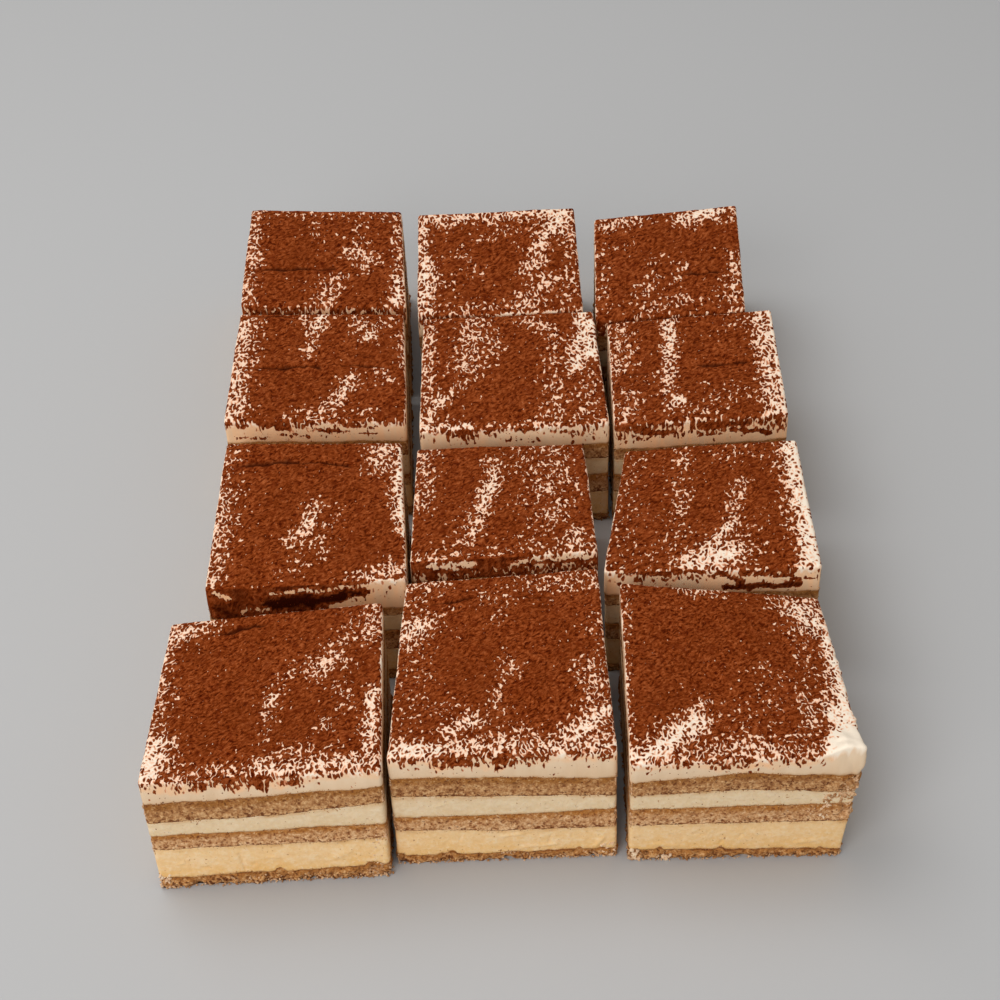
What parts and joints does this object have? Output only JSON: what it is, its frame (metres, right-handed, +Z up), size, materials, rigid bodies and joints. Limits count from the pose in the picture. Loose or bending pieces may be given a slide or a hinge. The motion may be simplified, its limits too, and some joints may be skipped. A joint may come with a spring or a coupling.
{
  "type": "tiramisu slab cut in squares",
  "caption": "Rectangular layered tiramisu cut into squares that still stand together as one slab, cream and sponge in turn under a cocoa top.",
  "frame": {"origin": "middle of the slab's outline, on the plane that the squares stand on", "axes": "+Z up, +Y along the slab's long side from the front row to the back row, +X to the right seen from the front row"},
  "size_m": [0.2452, 0.3726, 0.0558],
  "materials": {
    "cream": "soft set cream, smooth, slightly moist",
    "sponge": "open crumb, moist, dull",
    "cocoa": "dry powder, dull"
  },
  "bodies": {
    "root": {"square_1_left": "cream", "square_1_middle": "cream", "square_1_right": "cream", "square_2_left": "cream", "square_2_middle": "cream", "square_2_right": "cream", "square_3_left": "cream", "square_3_middle": "cream", "square_3_right": "cream", "square_4_left": "cream", "square_4_middle": "cream", "square_4_right": "cream"}
  },
  "joints": []
}
